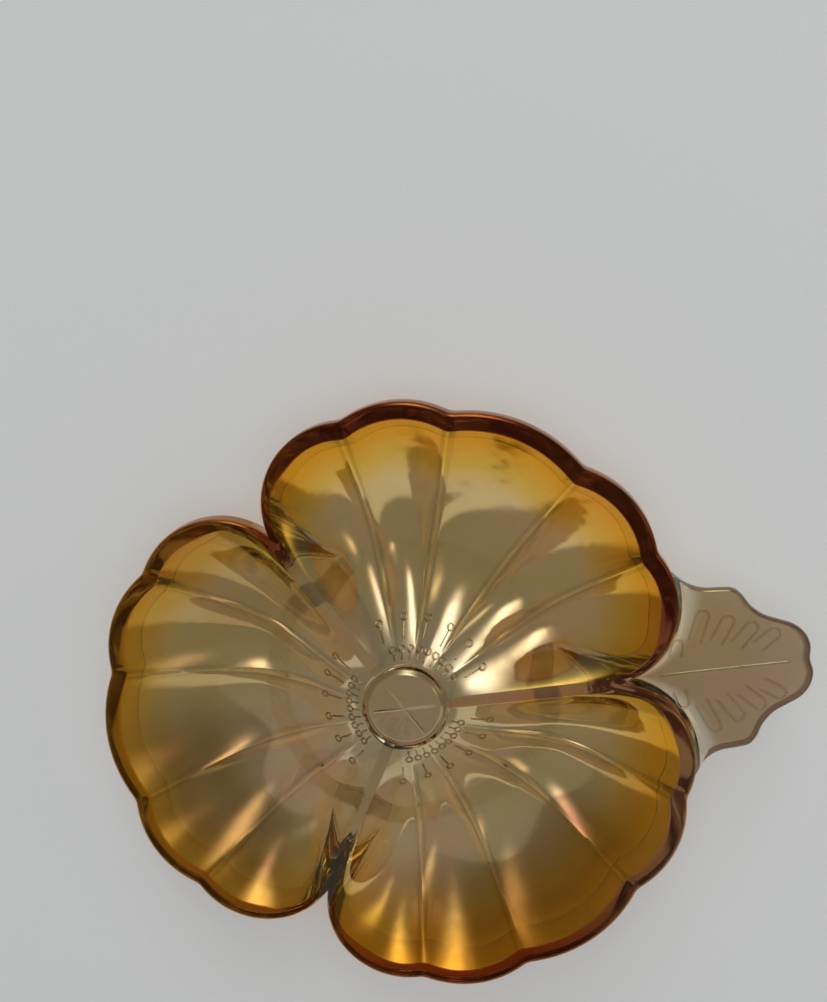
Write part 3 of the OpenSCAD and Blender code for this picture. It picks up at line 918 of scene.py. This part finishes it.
def studio_world():
    """A dim room with a pale wall on the -Y side, and soft lights whose edges fade out."""
    world = bpy.data.worlds.new("studio")
    world.use_nodes = True
    tree = world.node_tree
    new, link = node_maker(tree), tree.links.new
    where = new("ShaderNodeTexCoord")
    split = new("ShaderNodeSeparateXYZ")
    link(where.outputs["Generated"], split.inputs[0])
    above_wall = new("ShaderNodeMath", operation="MULTIPLY_ADD")
    link(split.outputs["Y"], above_wall.inputs[0])
    above_wall.inputs[1].default_value = WALL_TOP
    link(split.outputs["Z"], above_wall.inputs[2])
    edge = new("ShaderNodeMapRange", interpolation_type="SMOOTHSTEP")
    edge.inputs["From Min"].default_value = -0.05
    edge.inputs["From Max"].default_value = 0.05
    link(above_wall.outputs[0], edge.inputs["Value"])
    room = new("ShaderNodeMix", data_type="RGBA")
    link(edge.outputs["Result"], room.inputs["Factor"])
    room.inputs["A"].default_value = FRONT_WALL
    room.inputs["B"].default_value = DARK_ROOM
    total = room.outputs["Result"]
    for azimuth, elevation, spread, strength, colour in SOFT_LIGHTS:
        az, el = math.radians(azimuth), math.radians(elevation)
        towards = new("ShaderNodeVectorMath", operation="DOT_PRODUCT")
        link(where.outputs["Generated"], towards.inputs[0])
        flat = math.cos(el)
        towards.inputs[1].default_value = (flat * math.cos(az), flat * math.sin(az), math.sin(el))
        sharp = 1 / (1 - math.cos(math.radians(spread)))
        fall = new("ShaderNodeMath", operation="MULTIPLY_ADD")
        link(towards.outputs["Value"], fall.inputs[0])
        fall.inputs[1].default_value = sharp
        fall.inputs[2].default_value = -sharp
        glow = new("ShaderNodeMath", operation="EXPONENT")
        link(fall.outputs[0], glow.inputs[0])
        lit = new("ShaderNodeVectorMath", operation="SCALE")
        lit.inputs[0].default_value = [strength * c for c in colour]
        link(glow.outputs[0], lit.inputs["Scale"])
        added = new("ShaderNodeVectorMath", operation="ADD")
        link(total, added.inputs[0])
        link(lit.outputs[0], added.inputs[1])
        total = added.outputs[0]
    link(total, tree.nodes["Background"].inputs["Color"])
    bpy.context.scene.world = world


def ceiling_light():
    """Lights the floor evenly from above, unseen in the glass."""
    data = bpy.data.lights.new("ceiling", "AREA")
    data.shape = "DISK"
    data.size = 1.6
    data.energy = 17
    lamp = bpy.data.objects.new("ceiling", data)
    lamp.location = (0.2, 0.35, 1.6)
    lamp.rotation_euler = lamp.location.to_track_quat("Z", "Y").to_euler()
    lamp.visible_glossy = False
    lamp.visible_transmission = False
    bpy.context.scene.collection.objects.link(lamp)


def make_camera():
    """Looks down on the dish from the side of its left petal, a little rolled."""
    data = bpy.data.cameras.new("camera")
    data.sensor_width = 36
    data.lens = 53.9
    camera = bpy.data.objects.new("camera", data)
    camera.location = Vector((AXIS_X, 0, RIM_Z)) * MM + Vector((0.0518, 0.1186, 0.3461))
    camera.rotation_euler = [math.radians(a) for a in (-11.87, 5.30, -8.26)]
    bpy.context.scene.collection.objects.link(camera)
    bpy.context.scene.camera = camera


# ---------------------------------------------------------------- the whole
joint = joint_glass()
petal_glass = [iridised_glass("glass_petal", 0.07, (200, 320), (1, 0.8, 0.5)), joint]
band_glass = [iridised_glass("glass_band", 0.06, (200, 320), (1, 0.6, 0.4)), joint]
pale_glass = [iridised_glass("glass_pale", 0.05, (180, 280), (1, 0.94, 0.8)), joint]

for name, mid in MIDS.items():
    build_petal(name, mid, petal_glass)
    build_rim(name, mid, band_glass)
for name, cleft in CLEFTS.items():
    build_divider(name, cleft, band_glass)
build_centre(pale_glass)
build_foot(petal_glass)
build_leaf(pale_glass)
build_midrib(pale_glass[:1])
build_veins(pale_glass[:1])
build_stamens(pale_glass[:1])

make_floor()
studio_world()
ceiling_light()
make_camera()
bpy.context.scene.view_settings.view_transform = "Standard"
